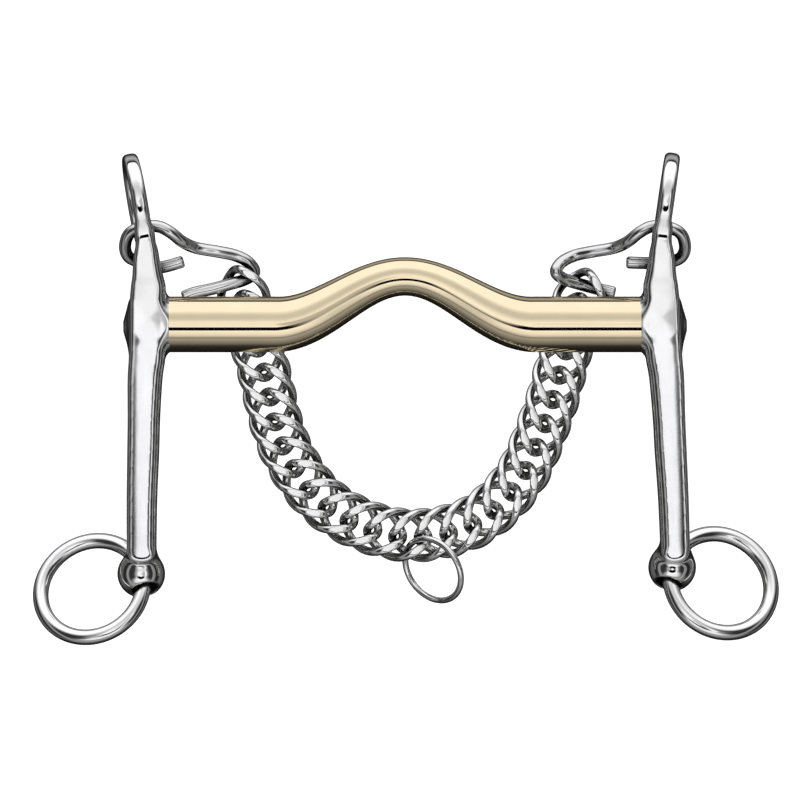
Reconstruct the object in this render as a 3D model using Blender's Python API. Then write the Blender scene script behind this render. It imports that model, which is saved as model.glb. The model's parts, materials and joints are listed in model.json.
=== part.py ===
"""A curb bit: a ported mouthpiece between two fixed cheeks, a double-link curb chain on
two hooks, a rein ring in the foot of each cheek and a lip-strap ring on the chain.

It lies on its back. X runs along the mouthpiece, +Y points to the headstall eyes, and
+Z points up from the surface that it lies on. Lengths below are in millimetres.
"""

import math

import bmesh
import bpy
from mathutils import Matrix, Vector

MM = 0.001
GAP = 0.3

# The middle of the mouthpiece's axis in the frame
MOUTH_X = -0.8
MOUTH_Y = 20.45
MOUTH_Z = 18.25

MOUTH_HALF_LENGTH = 65.3
MOUTH_RADIUS = 7.75
PORT_HEIGHT = 13.3
PORT_HALF_WIDTH = 36.0
PORT_RADIUS = 5.35
PORT_THINNING = 0.7
MOUTH_STATIONS = 44
MOUTH_SIDES = 16

SPIGOT_RADIUS = 4.5
SPIGOT_LENGTH = 9.0

# The upper eye of a cheek, a ring in the plane across the mouthpiece: its centre, and
# its turn about the cheek, which puts the back of the ring outside the front
EYE_CENTRES = {"left": (73.8, 34.1, -4.4), "right": (72.95, 34.1, -4.4)}
EYE_TURNS = {"left": math.radians(-4.4), "right": math.radians(-0.6)}
EYE_RADIUS = 11.75
EYE_BAR = (2.2, 2.0)
EYE_LEAN = math.radians(-9.0)
EYE_SIDES = 28
EYE_BAR_SIDES = 10

# The ball at the foot of a cheek, bored for the rein ring: it is turned about the bore
# between two flat ends, and the bore flares towards both
BALL_CENTRES = {"left": (74.3, -69.1, -6.0), "right": (73.2, -67.6, -6.0)}
BALL_RADIUS = 6.65
BALL_FIRST_ANGLE = 33.0
BALL_LAST_ANGLE = 147.0
BALL_STEPS = 9
BALL_SIDES = 20
BORE_PROFILE = ((-10.0, 6.0), (-4.3, 3.6), (4.3, 3.6), (10.0, 6.0))
CHEEK_LEAN = math.radians(0.85)

# Each station of a cheek's bar, measured from the mouthpiece's axis: its height along Y,
# its centre and half width in X, and the Z of its back and of its face
CHEEK_STATIONS = (
    (26.4, 71.7, 2.2, 2.4, 6.1),
    (25.0, 71.6, 2.3, -0.6, 6.2),
    (23.6, 71.5, 2.4, -5.4, 6.25),
    (20.6, 71.4, 3.2, -5.5, 6.35),
    (17.8, 71.4, 3.65, -5.3, 6.5),
    (13.7, 71.1, 4.2, -5.2, 6.75),
    (10.5, 71.0, 4.75, -5.3, 7.05),
    (6.0, 71.3, 4.85, -5.6, 7.4),
    (-6.0, 71.5, 5.0, -5.7, 7.05),
    (-10.0, 71.7, 5.0, -5.7, 6.7),
    (-15.4, 72.3, 4.75, -5.7, 6.2),
    (-48.7, 73.7, 4.2, -7.1, 3.1),
    (-62.4, 74.0, 4.05, -7.85, 1.85),
    (-64.8, 74.0, 3.4, -8.2, 1.55),
    (-66.0, 74.0, 2.1, -8.6, 1.1),
)
CORNER_RADIUS = 1.5
CORNER_SHARE = 0.75

# The root of the mouthpiece's joint, sunk into the cheek, and the low boss on the
# cheek's outer side: distance along X and radius
ROOT_PROFILE = ((65.6, 7.6), (67.0, 7.6), (69.0, 7.0), (71.0, 5.6))
BOSS_PROFILE = ((73.0, 6.0), (76.2, 6.0), (77.3, 4.2), (78.1, 1.4))
STUB_SIDES = 24

# How each rein ring lies: the heading of its level diameter, its tilt, and the turn
# round the ring from that diameter to the ball
RING_RADIUS = 14.8
RING_WIRE = 2.25
RING_SHIFT = 0.3
RINGS = {
    "left": (math.radians(29.3), math.radians(30.0), math.radians(14.0)),
    "right": (math.radians(37.4), math.radians(29.0), math.radians(22.0)),
}
RING_POINTS = 32

# Where each hook is held, on the line that both swing on: distance from the middle,
# height from the mouthpiece and height over the surface
HOOK_PIVOT = (72.0, 22.3, 13.25)

# A hook's wire, measured in the same way: its cut end behind the cheek, its loop round
# the cheek and through the eye, then the arm down to the open bend and its tip
HOOK_WIRE = 1.75
HOOK_STUBS = {
    "left": ((61.5, 17.6, 9.05), (68.4, 15.9, 9.05)),
    "right": ((61.5, 17.3, 9.05), (68.5, 17.1, 9.05)),
}
HOOK_LOOP = (
    (73.2, 17.3, 8.95),
    (76.7, 18.7, 9.65),
    (77.8, 21.6, 11.35),
    (76.6, 25.2, 13.35),
    (73.0, 27.0, 14.45),
    (68.5, 27.2, 14.75),
    (65.0, 25.5, 14.35),
    (61.8, 23.0, 12.35),
)
HOOK_BEND = (
    (58.2, 21.4),
    (52.0, 20.3),
    (47.3, 19.3),
    (43.6, 17.4),
    (42.0, 14.6),
    (44.6, 12.6),
    (49.5, 11.1),
    (54.0, 9.9),
    (58.6, 8.9),
)
HOOK_TIPS = {"left": ((62.0, 7.6),), "right": ()}
# Heights of a hook's upper arm, bend and lower arm over the surface
HOOK_HEIGHTS = {"left": (5.65, 3.85, 5.55), "right": (5.15, 8.45, 4.05)}

# The curb chain's centre line, from the left hook to the right one: distance from the
# middle, height from the mouthpiece and height over the surface
CHAIN_ROUTE = (
    (-44.9, 7.1, 4.75),
    (-39.8, -11.0, 4.75),
    (-33.5, -34.0, 4.75),
    (-21.5, -50.3, 4.75),
    (-2.0, -58.4, 4.75),
    (17.5, -55.6, 4.75),
    (31.0, -44.0, 4.75),
    (39.3, -26.0, 4.75),
    (44.0, -10.0, 4.75),
    (48.4, 6.4, 4.75),
)
LINKS = 26
LINK_LENGTH = 19.6
LINK_WIDTH = 15.2
LINK_WIRE = 1.2
LINK_TWIST = math.radians(65.0)
LINK_SQUARENESS = 2.4
LINK_POINTS = 20
# How far ahead and behind a link's middle the chain's direction is read
LINK_REACH = 3.0

# Where the end links bear on the two hooks, in millimetres of the frame
CHAIN_HANGS_FROM = ((-46.96, 32.48, 5.03), (48.7, 31.55, 4.05))

# The ring for the lip strap, round one link's outer strand, where it swings
STRAP_RING_CENTRE = (7.9, -68.0, 8.15)
STRAP_RING_PIVOT = (-2.84, -64.64, 4.75)
STRAP_RING_NORMAL = (-0.57, -0.39, 0.72)
STRAP_RING_RADIUS = 9.4
STRAP_RING_WIRE = 0.95
STRAP_RING_POINTS = 28

# Steps of a smooth route between two of its points
HOOK_STEPS = 2
ROUTE_STEPS = 40

STEEL = ((0.80, 0.80, 0.82, 1.0), 0.12)
GOLD_ALLOY = ((0.83, 0.68, 0.42, 1.0), 0.18)


def clear_scene():
    for thing in list(bpy.data.objects):
        bpy.data.objects.remove(thing, do_unlink=True)


def metal(name, look):
    colour, roughness = look
    material = bpy.data.materials.new(name)
    material.use_nodes = True
    shader = material.node_tree.nodes["Principled BSDF"]
    shader.inputs["Base Color"].default_value = colour
    shader.inputs["Metallic"].default_value = 1.0
    shader.inputs["Roughness"].default_value = roughness
    return material


def add_object(name, data, look):
    thing = bpy.data.objects.new(name, data)
    bpy.context.collection.objects.link(thing)
    if look is not None:
        data.materials.append(metal(name, look))
    return thing


def in_frame(point):
    """A point measured from the mouthpiece's axis, in metres of the frame."""
    x, y, z = point
    return Vector((x + MOUTH_X, y + MOUTH_Y, z + MOUTH_Z)) * MM


def over_surface(point):
    """A point whose height is measured from the surface below, in metres of the frame."""
    x, y, z = point
    return Vector((x + MOUTH_X, y + MOUTH_Y, z)) * MM


def skin(name, rings, look, closed=False):
    """A closed body through rings of as many points each, capped unless it closes on itself."""
    mesh = bmesh.new()
    loops = [[mesh.verts.new(point) for point in ring] for ring in rings]
    pairs = list(zip(loops, loops[1:]))
    if closed:
        pairs.append((loops[-1], loops[0]))
    else:
        mesh.faces.new(loops[0])
        mesh.faces.new(loops[-1])
    for first, second in pairs:
        for i in range(len(first)):
            j = (i + 1) % len(first)
            mesh.faces.new((first[i], first[j], second[j], second[i]))
    bmesh.ops.recalc_face_normals(mesh, faces=mesh.faces)
    data = bpy.data.meshes.new(name)
    mesh.to_mesh(data)
    mesh.free()
    data.shade_smooth()
    data.set_sharp_from_angle(angle=math.radians(35))
    return add_object(name, data, look)


def circle(count):
    angles = [2 * math.pi * i / count for i in range(count)]
    return [(math.cos(angle), math.sin(angle)) for angle in angles]


def turned(name, profile, sides, matrix, look):
    """A body turned about its own Z axis through (height, radius) pairs."""
    rings = []
    for height, radius in profile:
        ring = [Vector((radius * c, radius * s, height)) for c, s in circle(sides)]
        rings.append([matrix @ point for point in ring])
    return skin(name, rings, look)


def smooth_through(points, steps):
    """Points on a smooth curve that passes through every given point."""
    points = [Vector(point) for point in points]
    ends = [2 * points[0] - points[1]] + points + [2 * points[-1] - points[-2]]
    curve = []
    for before, start, end, after in zip(ends, ends[1:], ends[2:], ends[3:]):
        for step in range(steps):
            t = step / steps
            slope = (end - before) * t
            bend = (2 * before - 5 * start + 4 * end - after) * t**2
            rest = (3 * start - before - 3 * end + after) * t**3
            curve.append((2 * start + slope + bend + rest) / 2)
    curve.append(points[-1])
    return curve


def wire_data(name, points, radius, closed, sides_step):
    """A round wire as a curve, through points in metres."""
    data = bpy.data.curves.new(name, "CURVE")
    data.dimensions = "3D"
    data.bevel_depth = radius * MM
    data.bevel_resolution = sides_step
    data.use_fill_caps = True
    spline = data.splines.new("POLY")
    spline.points.add(len(points) - 1)
    for slot, point in zip(spline.points, points):
        slot.co = (*point, 1.0)
    spline.use_cyclic_u = closed
    spline.use_smooth = True
    return data


def helper(thing):
    thing.hide_render = True
    thing.display_type = "WIRE"
    return thing


def combine(thing, other, operation):
    modifier = thing.modifiers.new(other.name, "BOOLEAN")
    modifier.operation = operation
    modifier.solver = "EXACT"
    modifier.object = helper(other)


def port_shape(x):
    """How far the port rises at x: 0 beside it, 1 at its crest."""
    if abs(x) >= PORT_HALF_WIDTH:
        return 0.0
    return (1 + math.cos(math.pi * x / PORT_HALF_WIDTH)) / 2


def make_mouthpiece():
    """A round bar with an arched, thinner middle, and a blind socket in each end."""
    rings = []
    for i in range(MOUTH_STATIONS + 1):
        x = MOUTH_HALF_LENGTH * (2 * i / MOUTH_STATIONS - 1)
        rise = port_shape(x)
        radius = MOUTH_RADIUS - (MOUTH_RADIUS - PORT_RADIUS) * rise**PORT_THINNING
        slope = 0.0
        if rise:
            turn = math.pi / PORT_HALF_WIDTH
            slope = -PORT_HEIGHT * turn * math.sin(turn * x) / 2
        across = Vector((-slope, 1.0, 0.0)).normalized()
        centre = Vector((x, PORT_HEIGHT * rise, 0.0))
        up = Vector((0, 0, 1))
        ring = [centre + radius * (c * across + s * up) for c, s in circle(MOUTH_SIDES)]
        rings.append([in_frame(point) for point in ring])
    mouthpiece = skin("mouthpiece", rings, GOLD_ALLOY)
    for side in (-1, 1):
        floor = MOUTH_HALF_LENGTH - SPIGOT_LENGTH
        radius = SPIGOT_RADIUS + GAP
        profile = ((floor, radius), (MOUTH_HALF_LENGTH + 1, radius))
        cutter = turned(f"socket_cutter_{side}", profile, STUB_SIDES, along_x(side), None)
        combine(mouthpiece, cutter, "DIFFERENCE")
    return mouthpiece


def along_x(side):
    """Takes a shape turned about Z to the mouthpiece's axis, pointing to one side."""
    place = Matrix.Translation(in_frame((0, 0, 0)))
    return place @ Matrix.Rotation(side * math.pi / 2, 4, "Y") @ Matrix.Scale(MM, 4)


def rounded_rectangle(half_width, half_depth):
    """Twelve points of a rectangle whose corners are rounded, as (x, z) pairs."""
    radius = min(CORNER_RADIUS, CORNER_SHARE * half_width, CORNER_SHARE * half_depth)
    points = []
    for corner, (sx, sz) in enumerate(((1, 1), (-1, 1), (-1, -1), (1, -1))):
        for step in range(3):
            angle = math.pi / 2 * corner + math.pi / 4 * step
            x = sx * (half_width - radius) + radius * math.cos(angle)
            z = sz * (half_depth - radius) + radius * math.sin(angle)
            points.append((x, z))
    return points


def ring_axes(side_name):
    """The direction from a cheek's ball to its rein ring's centre, and the ring wire's
    direction through the ball, forwards and down."""
    heading, tilt, turn = RINGS[side_name]
    side = -1 if side_name == "left" else 1
    level = Vector((side * math.cos(heading), -math.sin(heading), 0))
    flat_x = -side * math.sin(heading) * math.cos(tilt)
    flat_y = -math.cos(heading) * math.cos(tilt)
    steep = Vector((flat_x, flat_y, math.sin(tilt)))
    outward = math.cos(turn) * level - math.sin(turn) * steep
    through = math.sin(turn) * level + math.cos(turn) * steep
    return outward, through


def lean(side, point):
    """A cheek's point, mirrored to its side and leaned about its joint to the mouthpiece."""
    pivot = Vector((side * MOUTH_HALF_LENGTH, 0, 0))
    x, y, z = point
    return Matrix.Rotation(CHEEK_LEAN, 3, "Z") @ (Vector((side * x, y, z)) - pivot) + pivot


def make_bar(side_name):
    """A cheek's bar, from the eye down to the ball."""
    side = -1 if side_name == "left" else 1
    rings = []
    for y, x, half_width, back, face in CHEEK_STATIONS:
        outline = rounded_rectangle(half_width, (face - back) / 2)
        z = (face + back) / 2
        rings.append([in_frame(lean(side, (x + dx, y, z + dz))) for dx, dz in outline])
    return skin(f"{side_name}_cheek", rings, STEEL)


def make_eye(side_name):
    side = -1 if side_name == "left" else 1
    centre = Vector(EYE_CENTRES[side_name])
    turn = Matrix.Rotation(EYE_TURNS[side_name], 3, "Y")
    place = Matrix.Rotation(EYE_LEAN, 3, "Z") @ turn
    rings = []
    for cy, cz in circle(EYE_SIDES):
        outward = Vector((0, cy, cz))
        ring = []
        for c, s in circle(EYE_BAR_SIDES):
            local = outward * (EYE_RADIUS + EYE_BAR[1] * c) + Vector((EYE_BAR[0] * s, 0, 0))
            ring.append(in_frame(lean(side, place @ local + centre)))
        rings.append(ring)
    return skin(f"{side_name}_eye", rings, None, closed=True)


def make_cheek(side_name):
    """A cheek: its bar, the eye above, the bored ball below, and the boss and spigot."""
    side = -1 if side_name == "left" else 1
    cheek = make_bar(side_name)
    combine(cheek, make_eye(side_name), "UNION")

    root = [(MOUTH_HALF_LENGTH - SPIGOT_LENGTH + GAP, SPIGOT_RADIUS)]
    root.append((MOUTH_HALF_LENGTH + GAP, SPIGOT_RADIUS))
    root.extend(ROOT_PROFILE)
    for name, profile in (("root", root), ("boss", BOSS_PROFILE)):
        body = turned(f"{side_name}_{name}", profile, STUB_SIDES, along_x(side), None)
        combine(cheek, body, "UNION")

    _, through = ring_axes(side_name)
    turn = through.to_track_quat("Z", "Y").to_matrix().to_4x4()
    centre = in_frame(lean(side, BALL_CENTRES[side_name]))
    aim = Matrix.Translation(centre) @ turn @ Matrix.Scale(MM, 4)
    profile = []
    for step in range(BALL_STEPS + 1):
        share = step / BALL_STEPS
        angle = math.radians(BALL_FIRST_ANGLE + (BALL_LAST_ANGLE - BALL_FIRST_ANGLE) * share)
        profile.append((-BALL_RADIUS * math.cos(angle), BALL_RADIUS * math.sin(angle)))
    ball = turned(f"{side_name}_ball", profile, BALL_SIDES, aim, None)
    combine(cheek, ball, "UNION")
    bore = turned(f"{side_name}_bore", BORE_PROFILE, BALL_SIDES, aim, None)
    combine(cheek, bore, "DIFFERENCE")
    return cheek


def make_rein_ring(side_name):
    """A rein ring through the ball, its origin on the ball's centre."""
    side = -1 if side_name == "left" else 1
    outward, through = ring_axes(side_name)
    centre = (RING_RADIUS - RING_SHIFT) * outward
    points = []
    for c, s in circle(RING_POINTS):
        points.append((centre + RING_RADIUS * (c * outward + s * through)) * MM)
    name = f"{side_name}_rein_ring"
    ring = add_object(name, wire_data(name, points, RING_WIRE, True, 2), STEEL)
    ring.location = in_frame(lean(side, BALL_CENTRES[side_name]))
    return ring


def hook_route(side_name):
    """The points of a hook's centre line, on the right-hand side of the bit."""
    upper, bend, lower = HOOK_HEIGHTS[side_name]
    open_part = HOOK_BEND + HOOK_TIPS[side_name]
    heights = [upper + 3, upper + 1.5, upper, (upper + bend) / 2, bend, (bend + lower) / 2]
    heights += [lower] * (len(open_part) - len(heights))
    route = list(HOOK_STUBS[side_name] + HOOK_LOOP)
    route += [(x, y, z) for (x, y), z in zip(open_part, heights)]
    return smooth_through(route, HOOK_STEPS)


def make_hook(side_name):
    """A curb hook: wire closed round the cheek's neck through the eye, then an open bend.
    Its origin is on the line that it swings on."""
    side = -1 if side_name == "left" else 1
    pivot_x, pivot_y, pivot_z = HOOK_PIVOT
    pivot = over_surface((side * pivot_x, pivot_y, pivot_z))
    points = [over_surface((side * x, y, z)) - pivot for x, y, z in hook_route(side_name)]
    name = f"{side_name}_curb_hook"
    hook = add_object(name, wire_data(name, points, HOOK_WIRE, False, 2), STEEL)
    hook.location = pivot
    return hook


def link_points():
    """The centre line of one chain link: a rounded loop, twisted along its length."""
    half_length = LINK_LENGTH / 2 - LINK_WIRE
    half_width = LINK_WIDTH / 2 - LINK_WIRE
    points = []
    for c, s in circle(LINK_POINTS):
        x = math.copysign(abs(c) ** (2 / LINK_SQUARENESS), c)
        y = math.copysign(abs(s) ** (2 / LINK_SQUARENESS), s)
        twist = -LINK_TWIST * x
        across = half_width * y
        point = Vector((half_length * x, across * math.cos(twist), across * math.sin(twist)))
        points.append(point * MM)
    return points


def chain_places():
    """Where each link's middle is, with its axes as columns: along, across and up."""
    curve = smooth_through(CHAIN_ROUTE, ROUTE_STEPS)
    reach = [0.0]
    for first, second in zip(curve, curve[1:]):
        reach.append(reach[-1] + (second - first).length)

    def at(distance):
        distance = min(max(distance, 0.0), reach[-1])
        i = max(j for j in range(len(reach) - 1) if reach[j] <= distance)
        share = (distance - reach[i]) / (reach[i + 1] - reach[i])
        return curve[i].lerp(curve[i + 1], share)

    places = []
    for k in range(LINKS):
        distance = reach[-1] * k / (LINKS - 1)
        here = at(distance)
        along = (at(distance + LINK_REACH) - at(distance - LINK_REACH)).normalized()
        across = Vector((-along.y, along.x, 0)).normalized()
        axes = Matrix((along, across, along.cross(across))).transposed()
        places.append(Matrix.Translation(over_surface(here)) @ axes.to_4x4())
    return places


def make_chain():
    """The links, each with its origin in its middle. The two end links hang from an empty
    on the line through both hooks, which the whole chain swings on."""
    data = wire_data("chain_link", link_points(), LINK_WIRE, True, 1)
    data.materials.append(metal("chain_link", STEEL))
    hanger = add_object("chain_swing_axis", None, None)
    hanger.location = Vector(CHAIN_HANGS_FROM[0]) * MM
    links = []
    for number, place in enumerate(chain_places(), start=1):
        link = add_object(f"chain_link_{number:02d}", data, None)
        link.matrix_world = place
        links.append(link)
    for link in (links[0], links[-1]):
        link.parent = hanger
        link.matrix_parent_inverse = Matrix.Translation(-hanger.location)
    return links


def make_strap_ring():
    """The ring for the lip strap, its origin on the strand that it hangs on."""
    normal = Vector(STRAP_RING_NORMAL).normalized()
    first = normal.orthogonal().normalized()
    second = normal.cross(first)
    pivot = over_surface(STRAP_RING_PIVOT)
    centre = over_surface(STRAP_RING_CENTRE) - pivot
    points = []
    for c, s in circle(STRAP_RING_POINTS):
        points.append(centre + STRAP_RING_RADIUS * MM * (c * first + s * second))
    data = wire_data("lip_strap_ring", points, STRAP_RING_WIRE, True, 1)
    ring = add_object("lip_strap_ring", data, STEEL)
    ring.location = pivot
    return ring


clear_scene()
make_mouthpiece()
for name in ("left", "right"):
    make_cheek(name)
    make_rein_ring(name)
    make_hook(name)
make_chain()
make_strap_ring()
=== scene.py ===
"""The looks of the curb bit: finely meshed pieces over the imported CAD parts, their metals,
a pale studio and a camera that looks straight down on the bit, with the eyes at the top.

Lengths are in millimetres unless a line says otherwise. Most dimensions are part.py's, at a
finer step. The cheeks' roots, bosses, necks and softened edges are shaped for the look, up
to about 1 mm from the CAD, and the hidden spigots and sockets are left out. Some wires are a
few hundredths slimmer, the strap ring is moved a little and the necks' backs are cut away,
so these pieces can be clear of each other at a joint limit where the CAD's pieces are not.
"""

import json
import math

import bpy
import numpy as np
from mathutils import Matrix, Vector


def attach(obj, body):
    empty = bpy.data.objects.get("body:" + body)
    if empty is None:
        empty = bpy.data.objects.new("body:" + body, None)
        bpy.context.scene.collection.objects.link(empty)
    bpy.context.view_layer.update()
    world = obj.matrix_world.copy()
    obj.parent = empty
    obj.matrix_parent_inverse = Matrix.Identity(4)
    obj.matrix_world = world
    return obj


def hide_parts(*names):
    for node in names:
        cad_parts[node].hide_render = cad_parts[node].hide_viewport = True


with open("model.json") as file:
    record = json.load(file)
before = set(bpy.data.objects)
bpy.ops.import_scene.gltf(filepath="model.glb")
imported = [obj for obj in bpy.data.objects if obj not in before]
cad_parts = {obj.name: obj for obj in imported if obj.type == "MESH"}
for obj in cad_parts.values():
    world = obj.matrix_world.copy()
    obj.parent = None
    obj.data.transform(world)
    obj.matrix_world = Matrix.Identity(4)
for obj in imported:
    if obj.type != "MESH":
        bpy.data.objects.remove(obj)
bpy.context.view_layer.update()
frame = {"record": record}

MM = 0.001

# ---- dimensions, most of them part.py's ----
MOUTH = Vector((-0.8, 20.45, 18.25))
MOUTH_HALF_LENGTH = 65.3
MOUTH_RADIUS = 7.75
PORT_HEIGHT = 13.3
PORT_HALF_WIDTH = 36.0
PORT_RADIUS = 5.35
PORT_THINNING = 0.7
# How far the bar runs on over each cheek's root, to close their seam
SEAM_REACH = 0.08

EYE_CENTRES = {"left": (73.8, 34.1, -4.4), "right": (72.95, 34.1, -4.4)}
EYE_TURNS = {"left": math.radians(-4.4), "right": math.radians(-0.6)}
EYE_RADIUS = 11.75
EYE_BAR = (2.2, 1.92)
# How square the section of the eye's bar is: 2 is an ellipse
EYE_POWER = 2.8
EYE_LEAN = math.radians(-9.0)

BALL_CENTRES = {"left": (74.3, -69.1, -6.0), "right": (73.2, -67.6, -6.0)}
BALL_RADIUS = 6.65
BALL_HALF_LENGTH = 5.58
BORE_RADIUS = 3.6
CHEEK_LEAN = math.radians(0.85)

# The cheek's bar along y: its middle in x, half its width, its back and its face in z
CHEEK_STATIONS = (
    (27.0, 71.8, 2.2, 5.0, 6.25),
    (25.4, 71.7, 2.3, 2.2, 6.3),
    (23.6, 71.5, 2.45, -5.4, 6.35),
    (20.6, 71.4, 3.2, -5.5, 6.45),
    (17.8, 71.4, 3.65, -5.3, 6.6),
    (13.7, 71.1, 4.2, -5.2, 6.85),
    (10.5, 71.0, 4.75, -5.3, 7.15),
    (6.0, 71.3, 4.85, -5.6, 7.5),
    (2.0, 71.35, 4.9, -5.7, 7.65),
    (-2.0, 71.4, 4.95, -5.7, 7.5),
    (-6.0, 71.5, 5.0, -5.7, 7.15),
    (-10.0, 71.7, 5.0, -5.7, 6.8),
    (-15.4, 72.3, 4.77, -5.7, 6.3),
    (-26.5, 72.8, 4.45, -6.17, 5.27),
    (-34.8, 73.1, 4.4, -6.52, 4.5),
    (-48.7, 73.7, 4.2, -7.1, 3.2),
    (-61.5, 74.0, 4.1, -7.8, 2.0),
    (-66.5, 74.0, 4.1, -8.1, 1.55),
)
INNER_CORNER = 2.2
OUTER_CORNER = 1.3
FOOT_CORNER = 1.15
# The most of the bar's half width that a corner's radius may take
CORNER_SHARE = 0.36
CROWN_RADIUS = 45.0
# The foot of the bar is rounded off below this height
FOOT_START = -61.95
FOOT_POWER = 2.6

# Radii of the cheek's round root and boss along the mouthpiece's axis
ROOT_PROFILE = ((64.9, 7.3), (65.6, 7.36), (66.8, 7.46), (68.2, 7.4), (69.6, 6.8), (71.2, 5.6))
BOSS_PROFILE = ((74.0, 7.2), (76.2, 7.2), (77.3, 4.4), (78.15, 1.4))
BOSS_MIDDLE = -0.5
BOSS_SQUASH = 0.6

# The fillets and softened edges between the cheek's shapes
NECK_FILLETS = (0.5, 2.0)
ROOT_FILLET = 3.0
BOSS_FILLET = 1.2
BALL_FILLET = 2.0
BALL_EDGE = 0.8
BORE_EDGE = 0.5
END_EDGE = 1.0
# The bore opens out beyond this distance from the ball's middle, by this slope
FLARE_START = 4.6
FLARE_SLOPE = 0.3
BORE_REACH = 11.0
# The face takes this long to come level with the mouthpiece. The root may raise it only
# in the joint's middle: the limit eases from one distance, and is lifted past the other.
LEVEL_REACH = 2.6
LIMIT_EASES, LIMIT_EASE = 9.0, 0.05
LIMIT_ENDS = 19.0

RING_RADIUS = 14.8
RING_WIRE = 2.2
RING_SHIFT = 0.3
RINGS = {
    "left": (math.radians(29.3), math.radians(30.0), math.radians(14.0)),
    "right": (math.radians(37.4), math.radians(29.0), math.radians(22.0)),
}

HOOK_WIRE = 1.72
HOOK_STUBS = {
    "left": ((61.5, 17.6, 9.05), (68.4, 15.9, 9.05)),
    "right": ((61.5, 17.3, 9.05), (68.5, 17.1, 9.05)),
}
HOOK_LOOP = (
    (73.2, 17.3, 8.95),
    (76.7, 18.7, 9.65),
    (77.8, 21.6, 11.35),
    (76.6, 25.2, 13.35),
    (73.0, 27.0, 14.45),
    (68.5, 27.2, 14.75),
    (65.0, 25.5, 14.35),
    (61.8, 23.0, 12.35),
)
HOOK_BEND = (
    (58.2, 21.4),
    (52.0, 20.3),
    (47.3, 19.3),
    (43.6, 17.4),
    (42.0, 14.6),
    (44.6, 12.6),
    (49.5, 11.1),
    (54.0, 9.9),
    (58.6, 8.9),
)
HOOK_TIPS = {"left": ((62.0, 7.6),), "right": ()}
# Heights of the hook's open part: where it starts, at its bend and at its end
HOOK_HEIGHTS = {"left": (5.65, 3.85, 5.55), "right": (5.15, 8.45, 4.05)}

CHAIN_ROUTE = (
    (-44.9, 7.1, 4.75),
    (-39.8, -11.0, 4.75),
    (-33.5, -34.0, 4.75),
    (-21.5, -50.3, 4.75),
    (-2.0, -58.4, 4.75),
    (17.5, -55.6, 4.75),
    (31.0, -44.0, 4.75),
    (39.3, -26.0, 4.75),
    (44.0, -10.0, 4.75),
    (48.4, 6.4, 4.75),
)
LINKS = 26
LINK_LENGTH = 19.6
LINK_WIDTH = 15.2
LINK_WIRE = 1.2
LINK_TWIST = math.radians(65.0)
LINK_SQUARENESS = 2.4
# Where the front and back of a link are worn and ground flat, and how much of it
FLAT_HEIGHT = 4.34
FLAT_SHARE = 0.97

STRAP_RING_CENTRE = (7.8, -68.1, 8.2)
STRAP_RING_NORMAL = (-0.57, -0.39, 0.72)
STRAP_RING_RADIUS = 9.4
STRAP_RING_WIRE = 0.88


# ---- places and meshes ----
def in_frame(points):
    """Points measured from the mouthpiece's axis, as metres of the frame."""
    return (np.asarray(points, float) + np.array(MOUTH)) * MM


def over_surface(points):
    """Points whose height is measured from the surface below, as metres of the frame."""
    return (np.asarray(points, float) + np.array((MOUTH.x, MOUTH.y, 0.0))) * MM


def add_mesh(name, points, faces, material, body, node):
    """A smooth mesh that rides on a body and stands for its CAD node."""
    data = bpy.data.meshes.new(name)
    data.from_pydata(np.asarray(points).tolist(), [], faces)
    data.validate()
    data.shade_smooth()
    data.materials.append(material)
    thing = bpy.data.objects.new(name, data)
    bpy.context.scene.collection.objects.link(thing)
    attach(thing, body)
    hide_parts(node)
    return thing


def smooth_through(points, steps):
    """Points on a smooth curve that passes through every given point."""
    points = np.asarray(points, float)
    ends = np.vstack([2 * points[0] - points[1], points, 2 * points[-1] - points[-2]])
    curve = []
    for i in range(len(points) - 1):
        before, start, end, after = ends[i : i + 4]
        for step in range(steps):
            t = step / steps
            slope = (end - before) * t
            bend = (2 * before - 5 * start + 4 * end - after) * t**2
            rest = (3 * start - before - 3 * end + after) * t**3
            curve.append((2 * start + slope + bend + rest) / 2)
    curve.append(points[-1])
    return np.array(curve)


def unit(vectors):
    return vectors / np.linalg.norm(vectors, axis=-1, keepdims=True)


def frames_along(points, closed):
    """Two vectors across the path at each of its points, turning as little as they can."""
    if closed:
        tangents = unit(np.roll(points, -1, 0) - np.roll(points, 1, 0))
    else:
        tangents = unit(np.gradient(points, axis=0))
    first = np.cross(tangents[0], (0.31, 0.17, 0.94))
    across = [unit(first)]
    for tangent in tangents[1:]:
        moved = across[-1] - np.dot(across[-1], tangent) * tangent
        across.append(unit(moved))
    across = np.array(across)
    if closed:
        # The frame comes round turned by some angle, which is shared out along the path.
        last = across[-1] - np.dot(across[-1], tangents[0]) * tangents[0]
        side = np.cross(tangents[0], across[0])
        excess = math.atan2(np.dot(last, side), np.dot(last, across[0]))
        turn = -excess * np.arange(len(points)) / len(points)
        other = np.cross(tangents, across)
        across = across * np.cos(turn)[:, None] + other * np.sin(turn)[:, None]
    return across, np.cross(tangents, across)


def tube(points, radii, sides, closed):
    """Points and faces of a round wire along a path, with fans over its ends."""
    across, other = frames_along(points, closed)
    angle = 2 * np.pi * np.arange(sides) / sides
    ring = across[:, None] * np.cos(angle)[:, None] + other[:, None] * np.sin(angle)[:, None]
    verts = points[:, None] + ring * np.asarray(radii).reshape(-1, 1, 1)
    count = len(points)
    faces = []
    for i in range(count if closed else count - 1):
        near, far = i * sides, (i + 1) % count * sides
        for j in range(sides):
            k = (j + 1) % sides
            faces.append((near + j, near + k, far + k, far + j))
    verts = verts.reshape(-1, 3)
    if not closed:
        faces.append(tuple(range(sides - 1, -1, -1)))
        faces.append(tuple(range((count - 1) * sides, count * sides)))
    return verts, faces


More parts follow.
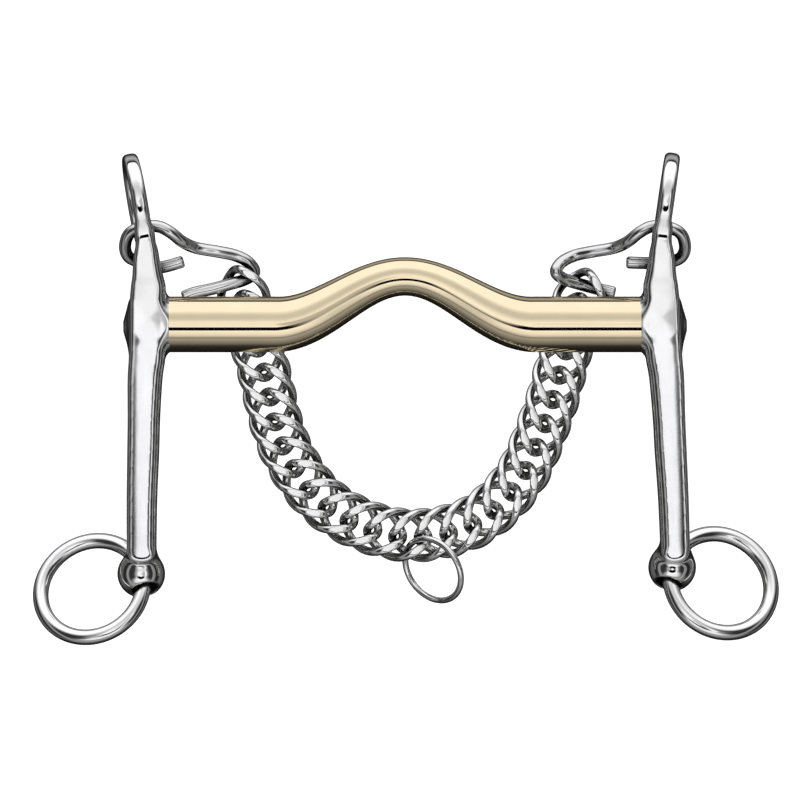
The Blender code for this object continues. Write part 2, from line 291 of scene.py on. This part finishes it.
def softened_ends(points, radius, edge, steps=6):
    """A path and radii whose cut ends have their edges rounded by the given amount."""
    angles = [math.pi / 2 * step / steps for step in range(steps + 1)]
    insets = [edge * (1 - math.sin(angle)) for angle in angles]
    sizes = [radius - edge * (1 - math.cos(angle)) for angle in angles]
    insets, sizes = insets[::-1], sizes[::-1]
    head, tail = unit(points[1] - points[0]), unit(points[-2] - points[-1])
    from_head = np.linalg.norm(points - points[0], axis=1)
    from_tail = np.linalg.norm(points - points[-1], axis=1)
    away = np.minimum(from_head, from_tail)
    inner = points[away > 1.5 * edge]
    first = points[0] + np.outer(insets, head)
    last = points[-1] + np.outer(insets[::-1], tail)
    return np.vstack([first, inner, last]), np.array(sizes + [radius] * len(inner) + sizes[::-1])


def surface_net(field, low, step):
    """Points and quads of the surface where a sampled field is zero."""
    inside = field < 0
    shape = np.array(field.shape) - 1
    count = np.zeros(shape, int)
    for i in (0, 1):
        for j in (0, 1):
            for k in (0, 1):
                count += inside[i : i + shape[0], j : j + shape[1], k : k + shape[2]]
    active = (count > 0) & (count < 8)
    cells = np.argwhere(active)
    number = np.full(shape, -1)
    number[active] = np.arange(len(cells))
    total = np.zeros((len(cells), 3))
    crossings = np.zeros(len(cells))
    for axis in range(3):
        for a in (0, 1):
            for b in (0, 1):
                start = np.insert(np.array((a, b)), axis, 0)
                end = np.insert(np.array((a, b)), axis, 1)
                first = field[tuple((cells + start).T)]
                second = field[tuple((cells + end).T)]
                cross = (first < 0) != (second < 0)
                share = np.where(cross, first / np.where(cross, first - second, 1), 0)
                place = start + share[:, None] * (end - start)
                total += np.where(cross[:, None], place, 0)
                crossings += cross
    points = low + step * (cells + total / crossings[:, None])
    faces = []
    for axis in range(3):
        b, c = (axis + 1) % 3, (axis + 2) % 3
        first = np.take(inside, range(shape[axis]), axis)
        second = np.take(inside, range(1, shape[axis] + 1), axis)
        edges = np.argwhere(first != second)
        edges = edges[(edges[:, b] > 0) & (edges[:, c] > 0)]
        edges = edges[(edges[:, b] < shape[b]) & (edges[:, c] < shape[c])]
        outward = first[tuple(edges.T)]
        down_b, down_c = np.zeros(3, int), np.zeros(3, int)
        down_b[b] = 1
        down_c[c] = 1
        ring = (edges - down_b - down_c, edges - down_c, edges, edges - down_b)
        quads = np.stack([number[tuple(cell.T)] for cell in ring], 1)
        quads[~outward] = quads[~outward][:, ::-1]
        faces.append(quads)
    return points, np.vstack(faces)


def settle(points, field, rounds=4, reach=0.02):
    """Moves points onto the field's surface, along its slope."""
    for _ in range(rounds):
        value = field(points)
        slope = np.empty_like(points)
        for axis in range(3):
            offset = np.zeros(3)
            offset[axis] = reach
            slope[:, axis] = (field(points + offset) - field(points - offset)) / (2 * reach)
        size = np.maximum((slope**2).sum(1), 0.05)
        points = points - (value / size)[:, None] * slope
    return points


def soft_union(first, second, fillet):
    """Two distance fields joined with a fillet. With both negated, it softens their cut."""
    share = np.clip(0.5 + 0.5 * (second - first) / fillet, 0, 1)
    return second * (1 - share) + first * share - fillet * share * (1 - share)


# ---- metals ----
# A colour Mix node's sockets, which share their names with those of its other types
MIX_A, MIX_B, MIX_RESULT = 6, 7, 2


def node(tree, kind, **settings):
    made = tree.nodes.new(kind)
    for key, value in settings.items():
        setattr(made, key, value)
    return made


def polished(name, colour, edge_tint, roughness, bands, recess=None):
    """A polished metal: faint cloudy polish, and fine scratches that the bands stretch.
    With a recess distance, in metres, painted shade darkens its colour in its recesses and near
    other parts."""
    material = bpy.data.materials.new(name)
    material.use_nodes = True
    tree = material.node_tree
    link = tree.links.new
    shader = tree.nodes["Principled BSDF"]
    shader.inputs["Metallic"].default_value = 1.0
    shader.inputs["Specular Tint"].default_value = (*edge_tint, 1.0)
    place = node(tree, "ShaderNodeTexCoord")

    cloud = node(tree, "ShaderNodeTexNoise")
    cloud.inputs["Scale"].default_value = 140.0
    cloud.inputs["Detail"].default_value = 4.0
    link(place.outputs["Object"], cloud.inputs["Vector"])

    stretch = node(tree, "ShaderNodeMapping")
    stretch.inputs["Scale"].default_value = bands
    link(place.outputs["Object"], stretch.inputs["Vector"])
    scratch = node(tree, "ShaderNodeTexNoise")
    scratch.inputs["Scale"].default_value = 900.0
    scratch.inputs["Detail"].default_value = 3.0
    link(stretch.outputs["Vector"], scratch.inputs["Vector"])

    tone = node(tree, "ShaderNodeValToRGB")
    tone.color_ramp.elements[0].position = 0.3
    tone.color_ramp.elements[0].color = (*[0.94 * c for c in colour], 1.0)
    tone.color_ramp.elements[1].position = 0.7
    tone.color_ramp.elements[1].color = (*colour, 1.0)
    link(cloud.outputs["Fac"], tone.inputs["Fac"])
    if recess is None:
        link(tone.outputs["Color"], shader.inputs["Base Color"])
    else:
        # Painted shade: ambient occlusion darkens the base colour in recesses and close to other
        # parts.
        open_air = node(tree, "ShaderNodeAmbientOcclusion", samples=8)
        open_air.inputs["Distance"].default_value = recess
        painted_recess_shade = node(tree, "ShaderNodeValToRGB")
        painted_recess_shade.color_ramp.elements[0].position = 0.55
        painted_recess_shade.color_ramp.elements[0].color = (0.03, 0.03, 0.03, 1.0)
        painted_recess_shade.color_ramp.elements[1].position = 0.9
        link(open_air.outputs["AO"], painted_recess_shade.inputs["Fac"])
        darker = node(tree, "ShaderNodeMix", data_type="RGBA", blend_type="MULTIPLY")
        darker.inputs["Factor"].default_value = 1.0
        link(tone.outputs["Color"], darker.inputs[MIX_A])
        link(painted_recess_shade.outputs["Color"], darker.inputs[MIX_B])
        link(darker.outputs[MIX_RESULT], shader.inputs["Base Color"])

    rough = node(tree, "ShaderNodeMapRange")
    rough.inputs["From Min"].default_value = 0.35
    rough.inputs["From Max"].default_value = 0.75
    rough.inputs["To Min"].default_value = roughness
    rough.inputs["To Max"].default_value = roughness + 0.05
    link(scratch.outputs["Fac"], rough.inputs["Value"])
    link(rough.outputs["Result"], shader.inputs["Roughness"])

    bump = node(tree, "ShaderNodeBump")
    bump.inputs["Strength"].default_value = 0.02
    bump.inputs["Distance"].default_value = 0.0001
    link(cloud.outputs["Fac"], bump.inputs["Height"])
    fine = node(tree, "ShaderNodeBump")
    fine.inputs["Strength"].default_value = 0.03
    fine.inputs["Distance"].default_value = 0.00002
    link(scratch.outputs["Fac"], fine.inputs["Height"])
    link(bump.outputs["Normal"], fine.inputs["Normal"])
    link(fine.outputs["Normal"], shader.inputs["Normal"])
    return material


WHITE = (1.0, 1.0, 1.0)
GREY = (0.5, 0.5, 0.5)
ALONG_X = (0.12, 1.0, 1.0)
ALONG_Y = (1.0, 0.12, 1.0)
STEEL = polished("polished_steel", (0.93, 0.93, 0.885), WHITE, 0.03, ALONG_Y)
# Painted shade: a rough steel whose dark colour stands for the shade inside the cheeks' bores.
BORE_STEEL_SHADED = polished("bore_steel_painted_shade", (0.16, 0.16, 0.16), GREY, 0.35, ALONG_Y)
# Painted shade on the hooks: their steel is a darker copy of the polished steel, and it also
# darkens in its recesses.
HOOK_STEEL_SHADED = polished("hook_steel_painted_shade", (0.80, 0.80, 0.765), WHITE, 0.04, (0.3, 1.0, 1.0), 0.006)
# Painted shade on the chain: its steel darkens in the recesses between links.
CHAIN_STEEL_SHADED = polished("chain_steel", (0.90, 0.90, 0.86), WHITE, 0.04, (1.0, 1.0, 0.3), 0.003)
GOLD = polished("gold_alloy", (0.95, 0.81, 0.54), (0.92, 0.84, 0.66), 0.035, ALONG_X)


# ---- the mouthpiece ----
def port_shape(x):
    rise = (1 + np.cos(np.pi * x / PORT_HALF_WIDTH)) / 2
    return np.where(np.abs(x) < PORT_HALF_WIDTH, rise, 0.0)


def make_mouthpiece(stations=240, sides=72):
    """A round bar with an arched and thinner middle and two flat ends."""
    half = MOUTH_HALF_LENGTH + SEAM_REACH
    x = np.linspace(-half, half, stations + 1)
    rise = port_shape(x)
    radius = MOUTH_RADIUS - (MOUTH_RADIUS - PORT_RADIUS) * rise**PORT_THINNING
    turn = np.pi / PORT_HALF_WIDTH
    slope = np.where(rise > 0, -PORT_HEIGHT * turn * np.sin(turn * x) / 2, 0.0)
    across = unit(np.stack([-slope, np.ones_like(x), np.zeros_like(x)], 1))
    centre = np.stack([x, PORT_HEIGHT * rise, np.zeros_like(x)], 1)
    angle = 2 * np.pi * np.arange(sides) / sides
    up = np.array((0.0, 0.0, 1.0))
    ring = np.cos(angle)[:, None] * across[:, None] + np.sin(angle)[:, None] * up
    verts = (centre[:, None] + radius[:, None, None] * ring).reshape(-1, 3)
    faces = []
    for i in range(stations):
        near, far = i * sides, (i + 1) * sides
        for j in range(sides):
            k = (j + 1) % sides
            faces.append((near + j, near + k, far + k, far + j))
    faces.append(tuple(range(sides - 1, -1, -1)))
    faces.append(tuple(range(stations * sides, (stations + 1) * sides)))
    name = "mouthpiece"
    made = add_mesh(f"{name}_bar", in_frame(verts), faces, GOLD, "bit", name)
    made.data.set_sharp_from_angle(angle=math.radians(50))
    # The steel behind it reflects the studio, not the bar.
    made.visible_glossy = False
    return made


# ---- the cheeks ----
def ring_axes(side_name):
    """From a cheek's ball: the way to its ring's centre, and the ring wire's direction."""
    heading, tilt, turn = RINGS[side_name]
    side = -1 if side_name == "left" else 1
    level = np.array((side * math.cos(heading), -math.sin(heading), 0))
    flat = math.cos(tilt)
    steep = np.array(
        (-side * math.sin(heading) * flat, -math.cos(heading) * flat, math.sin(tilt))
    )
    outward = math.cos(turn) * level - math.sin(turn) * steep
    through = math.sin(turn) * level + math.cos(turn) * steep
    return outward, through


def leaned(side, points):
    """A cheek's points, mirrored to its side and leaned about its joint to the mouthpiece."""
    points = np.asarray(points, float).reshape(-1, 3) * (side, 1, 1)
    pivot = np.array((side * MOUTH_HALF_LENGTH, 0, 0))
    turn = np.array(Matrix.Rotation(CHEEK_LEAN, 3, "Z"))
    return (points - pivot) @ turn.T + pivot


BAR_ROWS = smooth_through(CHEEK_STATIONS, 12)[::-1]


def bar_at(y):
    """The bar's middle in x, half its width, its back and its face, at each y."""
    return [np.interp(y, BAR_ROWS[:, 0], BAR_ROWS[:, i]) for i in range(1, 5)]


def crown_drop(x, mid_x, half_x):
    """How far a crowned face has dropped from its middle line."""
    return np.minimum(np.abs(x - mid_x), half_x) ** 2 / (2 * CROWN_RADIUS)


def bar_field(p):
    """Distance to the cheek's bar: a tapered bar with rounded corners and crowned faces."""
    x, y, z = p.T
    mid_x, half_x, back, face = bar_at(y)
    mid_z, half_z = (face + back) / 2, (face - back) / 2
    past = np.maximum(FOOT_START - y, 0)
    dx = (np.abs(x - mid_x) ** FOOT_POWER + past**FOOT_POWER) ** (1 / FOOT_POWER)
    dz = np.abs(z - mid_z)
    crowned = half_z - crown_drop(x, mid_x, half_x)
    inward = np.clip(0.5 - 0.4 * (x - mid_x), 0, 1)
    radius = OUTER_CORNER + (INNER_CORNER - OUTER_CORNER) * inward
    radius = np.minimum(radius, CORNER_SHARE * half_x * (1 + 0.5 * inward))
    radius = radius + (FOOT_CORNER - radius) * np.clip(past / 2, 0, 1)
    qx = dx - (half_x - radius)
    qz = dz - (crowned - radius)
    outside = np.hypot(np.maximum(qx, 0), np.maximum(qz, 0))
    around = outside + np.minimum(np.maximum(qx, qz), 0) - radius
    ends = np.maximum(y - BAR_ROWS[-1, 0], BAR_ROWS[0, 0] - y)
    return -soft_union(-around, -ends, END_EDGE)


def over_face(p):
    """Height over the cheek's face, carried on level to the mouthpiece's end."""
    x, y, z = p.T
    mid_x, half_x, _, face = bar_at(y)
    crown = crown_drop(x, mid_x, half_x)
    level = np.clip((x - MOUTH_HALF_LENGTH) / LEVEL_REACH, 0, 1)
    slack = LIMIT_EASE * np.maximum(np.abs(y) - LIMIT_EASES, 0)
    slack = slack + np.maximum(y - LIMIT_ENDS, 0)
    return z - face + crown * level**2 * (3 - 2 * level) - slack


def eye_field(p, side_name):
    """Distance to the eye: a bar of squarish section bent into a ring."""
    turn = Matrix.Rotation(EYE_TURNS[side_name], 3, "Y")
    place = np.array(Matrix.Rotation(EYE_LEAN, 3, "Z") @ turn)
    x, y, z = ((p - EYE_CENTRES[side_name]) @ place).T
    wide, thick = EYE_BAR
    out = np.abs(np.hypot(y, z) - EYE_RADIUS)
    over = np.abs(x) * thick / wide
    return (out**EYE_POWER + over**EYE_POWER) ** (1 / EYE_POWER) - thick


def turned_field(p, profile, middle=0.0, squash=1.0):
    """Distance to a body turned about the mouthpiece's axis, from its end to its tip."""
    rows = smooth_through(profile, 8)
    x = p[:, 0]
    radius = np.interp(x, rows[:, 0], rows[:, 1])
    slope = np.interp(x, rows[:, 0], np.gradient(rows[:, 1], rows[:, 0]))
    wall = (np.hypot(p[:, 1] - middle, p[:, 2] / squash) - radius) / np.sqrt(1 + slope**2)
    return np.maximum(wall, np.maximum(rows[0, 0] - x, x - rows[-1, 0]))


def bore_axis(side_name):
    """The ball's bore in its cheek's own mirrored coordinates."""
    side = -1 if side_name == "left" else 1
    _, through = ring_axes(side_name)
    back = np.array(Matrix.Rotation(-CHEEK_LEAN, 3, "Z"))
    return (back @ through) * (side, 1, 1)


def about_bore(p, side_name):
    """How far points are along the ball's bore from its middle, and off its axis."""
    q = p - BALL_CENTRES[side_name]
    along = q @ bore_axis(side_name)
    return along, np.sqrt(np.maximum((q**2).sum(1) - along**2, 0))


def cheek_field(side_name):
    """The function that gives the distance of points to a cheek's surface."""

    def field(p):
        # The eye's hole stays clear at the back, where the hook passes through it.
        neck = np.interp(p[:, 2], (0, 3), NECK_FILLETS)
        body = soft_union(bar_field(p), eye_field(p, side_name), neck)
        # The root has deep fillets at its sides, and is level with the face in front. The
        # edge between the two is softened by how much the fillet has filled there.
        joined = soft_union(body, turned_field(p, ROOT_PROFILE), ROOT_FILLET)
        raised = np.maximum(body - joined, 0.001)
        body = -soft_union(-joined, -over_face(p), 0.6 * raised)
        boss = turned_field(p, BOSS_PROFILE, BOSS_MIDDLE, BOSS_SQUASH)
        body = soft_union(body, boss, BOSS_FILLET)
        along, off = about_bore(p, side_name)
        ball = np.hypot(along, off) - BALL_RADIUS
        ball = -soft_union(-ball, BALL_HALF_LENGTH - np.abs(along), BALL_EDGE)
        body = soft_union(body, ball, BALL_FILLET)
        flare = BORE_RADIUS + FLARE_SLOPE * np.maximum(np.abs(along) - FLARE_START, 0)
        hole = np.maximum(off - flare, np.abs(along) - BORE_REACH)
        body = -soft_union(-body, hole, BORE_EDGE)
        # The root ends just inside the mouthpiece's end, which hides its edge.
        return np.maximum(body, ROOT_PROFILE[0][0] - p[:, 0])

    return field


CHEEK_BOX = ((62.0, -77.5, -20.0), (82.0, 49.0, 11.5))


def make_cheek(side_name, step=0.42):
    """A cheek meshed from its field, with painted shade in its bore, where its faces take a dark,
    rough steel.
    """
    side = -1 if side_name == "left" else 1
    field = cheek_field(side_name)
    low, high = np.array(CHEEK_BOX)
    counts = np.ceil((high - low) / step).astype(int)
    axes = [low[i] + step * np.arange(counts[i]) for i in range(3)]
    values = np.empty(counts)
    for i, x in enumerate(axes[0]):
        y, z = np.meshgrid(axes[1], axes[2], indexing="ij")
        sheet = np.stack([np.full(y.size, x), y.ravel(), z.ravel()], 1)
        values[i] = field(sheet).reshape(y.shape)
    points, faces = surface_net(values, low, step)
    points = settle(points, field)
    # The faces in the bore take the dark steel, painted shade for the inside of the hole.
    along, off = about_bore(points[faces].mean(1), side_name)
    in_bore = (off < BORE_RADIUS + 0.2) & (np.abs(along) < BALL_HALF_LENGTH)
    if side < 0:
        faces = faces[:, ::-1]
    verts = in_frame(leaned(side, points))
    name = f"{side_name}_cheek"
    made = add_mesh(f"{name}_forging", verts, faces.tolist(), STEEL, "bit", name)
    made.data.materials.append(BORE_STEEL_SHADED)
    made.data.polygons.foreach_set("material_index", in_bore.astype(np.int32))
    return made


# ---- rings, hooks and chain ----
def circle(count):
    angle = 2 * np.pi * np.arange(count) / count
    return np.cos(angle)[:, None], np.sin(angle)[:, None]


def make_rein_ring(side_name):
    side = -1 if side_name == "left" else 1
    outward, through = ring_axes(side_name)
    c, s = circle(144)
    centre = (RING_RADIUS - RING_SHIFT) * outward
    path = centre + RING_RADIUS * (c * outward + s * through)
    verts, faces = tube(path, np.full(len(path), RING_WIRE), 32, True)
    ball = leaned(side, BALL_CENTRES[side_name])[0]
    name = f"{side_name}_rein_ring"
    verts = in_frame(verts + ball)
    return add_mesh(f"{name}_wire", verts, faces, STEEL, name, name)


def make_hook(side_name):
    side = -1 if side_name == "left" else 1
    upper, bend, lower = HOOK_HEIGHTS[side_name]
    open_part = HOOK_BEND + HOOK_TIPS[side_name]
    heights = [upper + 3, upper + 1.5, upper, (upper + bend) / 2, bend]
    heights.append((bend + lower) / 2)
    heights += [lower] * (len(open_part) - len(heights))
    route = list(HOOK_STUBS[side_name] + HOOK_LOOP)
    route += [(x, y, z) for (x, y), z in zip(open_part, heights)]
    path = smooth_through(np.array(route) * (side, 1, 1), 10)
    path, radii = softened_ends(path, HOOK_WIRE, 0.8)
    verts, faces = tube(path, radii, 32, False)
    name = f"{side_name}_curb_hook"
    verts = over_surface(verts)
    return add_mesh(f"{name}_wire", verts, faces, HOOK_STEEL_SHADED, name, name)


def link_shape(count=88, sides=28):
    """One twisted link, with the worn and ground faces that its front and back have."""
    c, s = circle(count)
    half_length = LINK_LENGTH / 2 - LINK_WIRE
    half_width = LINK_WIDTH / 2 - LINK_WIRE
    power = 2 / LINK_SQUARENESS
    x = np.sign(c) * np.abs(c) ** power
    y = np.sign(s) * np.abs(s) ** power
    twist = -LINK_TWIST * x
    across = half_width * y
    path = np.hstack([half_length * x, across * np.cos(twist), across * np.sin(twist)])
    verts, faces = tube(path, np.full(count, LINK_WIRE), sides, True)
    over = np.abs(verts[:, 2]) - FLAT_HEIGHT
    verts[:, 2] -= np.sign(verts[:, 2]) * np.where(over > 0, over * FLAT_SHARE, 0)
    return verts, faces


def chain_places():
    """Each link's middle and its axes: along, across and up."""
    curve = smooth_through(CHAIN_ROUTE, 40)
    reach = np.concatenate([[0], np.cumsum(np.linalg.norm(np.diff(curve, axis=0), axis=1))])

    def at(distance):
        return np.array([np.interp(distance, reach, curve[:, i]) for i in range(3)])

    for k in range(LINKS):
        distance = reach[-1] * k / (LINKS - 1)
        along = unit(at(distance + 3) - at(distance - 3))
        across = unit(np.array((-along[1], along[0], 0)))
        yield at(distance), np.array((along, across, np.cross(along, across)))


def make_chain():
    shape, faces = link_shape()
    bodies = frame["record"]["behaviour"]["bodies"]
    body_of = {name: body for body, names in bodies.items() for name in names}
    for number, (middle, axes) in enumerate(chain_places(), start=1):
        name = f"chain_link_{number:02d}"
        verts = over_surface(middle + shape @ axes)
        made = add_mesh(
            f"{name}_wire", verts, faces, CHAIN_STEEL_SHADED, body_of[name], name
        )
        made.data.set_sharp_from_angle(angle=math.radians(28))


def make_strap_ring():
    normal = unit(np.array(STRAP_RING_NORMAL))
    first = unit(np.cross(normal, (0, 0, 1)))
    second = np.cross(normal, first)
    c, s = circle(112)
    path = STRAP_RING_CENTRE + STRAP_RING_RADIUS * (c * first + s * second)
    verts, faces = tube(path, np.full(len(path), STRAP_RING_WIRE), 24, True)
    name = "lip_strap_ring"
    verts = over_surface(verts)
    return add_mesh(f"{name}_wire", verts, faces, STEEL, name, name)


make_mouthpiece()
for side_word in ("left", "right"):
    make_cheek(side_word)
    make_rein_ring(side_word)
    make_hook(side_word)
make_chain()
make_strap_ring()


# ---- the studio ----
# Brightness of the studio by the angle from straight up, in degrees, to each side
TO_EYES = (
    (0, 0.95), (5.5, 0.98), (9.5, 0.98), (13.6, 0.87), (17.7, 0.78), (21.8, 0.69), (26, 0.66),
    (34, 0.66), (38.6, 0.69), (43, 0.78), (47, 0.86), (51.7, 0.98), (56, 1.12), (106, 1.12),
    (109, 0.02), (113, 0.02), (118, 0.25), (127, 0.46), (137, 0.30), (150, 0.04), (180, 0.02),
)
TO_RINGS = (
    (0, 0.95), (10.5, 1.05), (12.2, 1.0), (12.8, 0.0), (25.6, 0.0), (26.2, 1.1), (35, 0.95),
    (44, 0.86), (48, 0.72), (51, 0.57), (54, 0.5), (57.6, 0.20), (62, 0.36), (67, 0.36), (72, 0.29),
    (80, 0.23), (88, 0.16), (95, 0.08), (100, 0.04), (113, 0.02), (142, 0.01), (180, 0.01),
)
TO_RIGHT = (
    (0, 0.95), (3, 0.70), (7, 0.55), (14, 0.50), (19, 0.42), (22, 1.0), (27, 1.0), (30, 0.3),
    (37, 0.1), (42, 0.03), (57, 0.03), (61, 0.28), (72, 0.25), (77, 0.02), (92, 0.02), (104, 0.14),
    (125, 0.10), (138, 0.02), (180, 0.01),
)
TO_LEFT = (
    (0, 0.95), (4, 1.05), (13, 1.05), (18, 0.8), (22, 0.42), (28, 0.3), (34, 0.05), (45, 0.03),
    (58, 0.04), (64, 0.28), (72, 0.28), (78, 0.03), (92, 0.02), (104, 0.12), (125, 0.10),
    (138, 0.02), (180, 0.01),
)
LIT_TINT = (1.0, 1.0, 1.07)
DIM_TINT = (1.0, 1.0, 1.05)


def ramp(tree, value, stops):
    made = node(tree, "ShaderNodeValToRGB")
    elements = made.color_ramp.elements
    while len(elements) < len(stops):
        elements.new(0.5)
    for element, (angle, level) in zip(elements, stops):
        element.position = angle / 180
        tint = LIT_TINT if level >= 1 else DIM_TINT
        element.color = (*[level * part for part in tint], 1.0)
    tree.links.new(value, made.inputs["Fac"])
    return made.outputs["Color"]


def math_node(tree, operation, *values):
    made = node(tree, "ShaderNodeMath", operation=operation)
    for socket, value in zip(made.inputs, values):
        if isinstance(value, (int, float)):
            socket.default_value = value
        else:
            tree.links.new(value, socket)
    return made.outputs[0]


def mixed(tree, share, first, second):
    made = node(tree, "ShaderNodeMix", data_type="RGBA")
    tree.links.new(share, made.inputs["Factor"])
    tree.links.new(first, made.inputs[MIX_A])
    tree.links.new(second, made.inputs[MIX_B])
    return made.outputs[MIX_RESULT]


def make_world():
    """A light tent: bright above and behind the eyes, dimmer at the sides and below, with
    dark gaps between its panels."""
    world = bpy.data.worlds.new("studio")
    bpy.context.scene.world = world
    world.use_nodes = True
    tree = world.node_tree
    background = tree.nodes["Background"]
    place = node(tree, "ShaderNodeTexCoord")
    split = node(tree, "ShaderNodeSeparateXYZ")
    tree.links.new(place.outputs["Generated"], split.inputs[0])
    x, y, z = split.outputs
    tilt = math_node(tree, "DIVIDE", math_node(tree, "ARCCOSINE", z), math.pi)
    toward_eyes = math_node(tree, "GREATER_THAN", y, 0.0)
    ahead = mixed(tree, toward_eyes, ramp(tree, tilt, TO_RINGS), ramp(tree, tilt, TO_EYES))
    toward_right = math_node(tree, "GREATER_THAN", x, 0.0)
    aside = mixed(tree, toward_right, ramp(tree, tilt, TO_LEFT), ramp(tree, tilt, TO_RIGHT))
    wide = math_node(tree, "ABSOLUTE", x)
    deep = math_node(tree, "ABSOLUTE", y)
    both = math_node(tree, "ADD", math_node(tree, "ADD", wide, deep), 0.0001)
    share = math_node(tree, "DIVIDE", deep, both)
    soft = node(tree, "ShaderNodeMapRange", interpolation_type="SMOOTHSTEP")
    soft.inputs["From Min"].default_value = 0.3
    soft.inputs["From Max"].default_value = 0.62
    tree.links.new(share, soft.inputs["Value"])
    tree.links.new(mixed(tree, soft.outputs["Result"], aside, ahead), background.inputs["Color"])
    background.inputs["Strength"].default_value = 1.0


def plain_white(name, glow):
    material = bpy.data.materials.new(name)
    material.use_nodes = True
    shader = material.node_tree.nodes["Principled BSDF"]
    shader.inputs["Base Color"].default_value = (0.9, 0.9, 0.9, 1.0)
    shader.inputs["Roughness"].default_value = 0.9
    shader.inputs["Emission Color"].default_value = (1.0, 1.0, 1.0, 1.0)
    shader.inputs["Emission Strength"].default_value = glow
    return material


def make_stage(floor_height=-0.11, radius=9.0, corners=64, rows=16, turns=48):
    """A pale floor and dome, in metres. Neither shows in the metal, which reflects the
    light tent."""
    c, s = circle(corners)
    rim = np.hstack([radius * c, radius * s, np.full((corners, 1), floor_height)])
    data = bpy.data.meshes.new("floor")
    data.from_pydata(rim.tolist(), [], [tuple(range(corners))])
    data.materials.append(plain_white("floor_white", 0.8))
    floor = bpy.data.objects.new("floor", data)
    verts, faces = [], []
    for i in range(rows + 1):
        height = math.pi * (i / rows - 0.5)
        for j in range(turns):
            a = 2 * math.pi * j / turns
            reach = radius * math.cos(height)
            verts.append((reach * math.cos(a), reach * math.sin(a), radius * math.sin(height)))
    for i in range(rows):
        for j in range(turns):
            k = (j + 1) % turns
            faces.append((i * turns + j, (i + 1) * turns + j, (i + 1) * turns + k, i * turns + k))
    data = bpy.data.meshes.new("backdrop")
    data.from_pydata(verts, [], faces)
    data.materials.append(plain_white("backdrop_white", 1.0))
    dome = bpy.data.objects.new("backdrop", data)
    for thing in (floor, dome):
        bpy.context.scene.collection.objects.link(thing)
        thing.visible_glossy = False
        thing.visible_shadow = False
    dome.visible_diffuse = False


def make_camera(width=0.2218, distance=3.0, middle=(-0.0022, -0.0005, 0.0182)):
    """A long lens straight above, framing a field of that width in metres."""
    data = bpy.data.cameras.new("camera")
    data.sensor_width = 36.0
    data.lens = data.sensor_width * distance / width
    data.clip_end = 30.0
    camera = bpy.data.objects.new("camera", data)
    camera.location = Vector(middle) + Vector((0, 0, distance))
    bpy.context.scene.collection.objects.link(camera)
    bpy.context.scene.camera = camera


make_world()
make_stage()
make_camera()
bpy.context.scene.view_settings.view_transform = "Standard"
